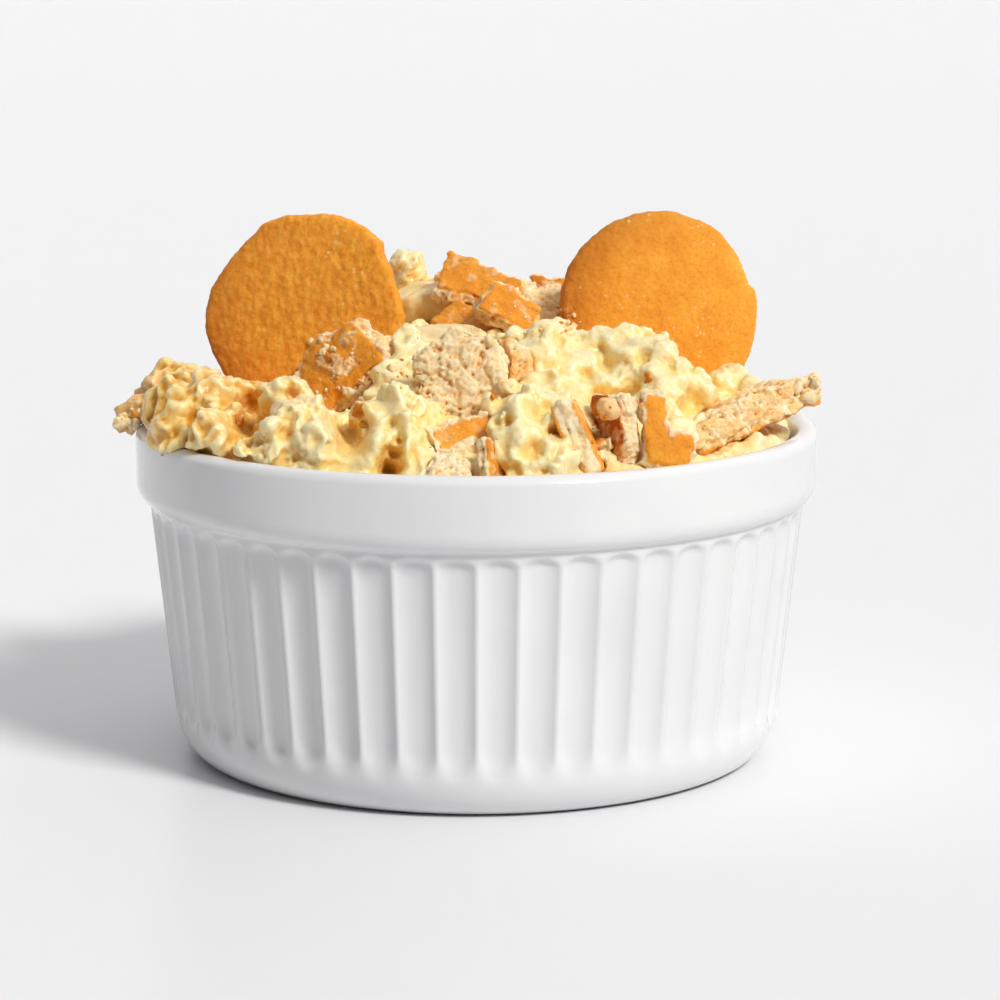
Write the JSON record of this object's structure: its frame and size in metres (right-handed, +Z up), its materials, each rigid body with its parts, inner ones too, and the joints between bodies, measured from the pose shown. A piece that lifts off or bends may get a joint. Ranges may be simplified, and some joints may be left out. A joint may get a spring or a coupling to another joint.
{
  "type": "banana pudding in a ramekin",
  "caption": "Round fluted white ramekin heaped with lumpy pale yellow pudding, with whole and broken round wafers and slices of banana in it.",
  "frame": {"origin": "middle of the flat base that the dish stands on", "axes": "+Z up; -Y towards the side of the heap that is looked at, where the broken wafers show; +X to that viewer's right"},
  "size_m": [0.1316, 0.127, 0.0996],
  "materials": {
    "glaze": "smooth white glaze",
    "custard": "moist, lumpy and soft",
    "wafer": "dry baked crust with a paler crumb inside",
    "banana": "moist cut face"
  },
  "bodies": {
    "root": {"ramekin": "glaze", "pudding": "custard", "wafer_left": "wafer", "wafer_right": "wafer", "broken_wafer_curled": "wafer", "broken_wafer_centre": "wafer", "broken_wafer_under_centre": "wafer", "broken_wafer_beside_centre": "wafer", "broken_wafer_stack_top": "wafer", "broken_wafer_stack_right": "wafer", "broken_wafer_stack_low": "wafer", "broken_wafer_back_slab": "wafer", "broken_wafer_back_thin": "wafer", "broken_wafer_back_upright": "wafer", "broken_wafer_front_slab": "wafer", "broken_wafer_front_upright": "wafer", "broken_wafer_front_face": "wafer", "broken_wafer_long": "wafer", "broken_wafer_front_low": "wafer", "broken_wafer_front_edge": "wafer", "banana_slice_back": "banana", "banana_slice_middle": "banana", "banana_slice_right": "banana", "wafer_crumb_front": "wafer"}
  },
  "joints": []
}
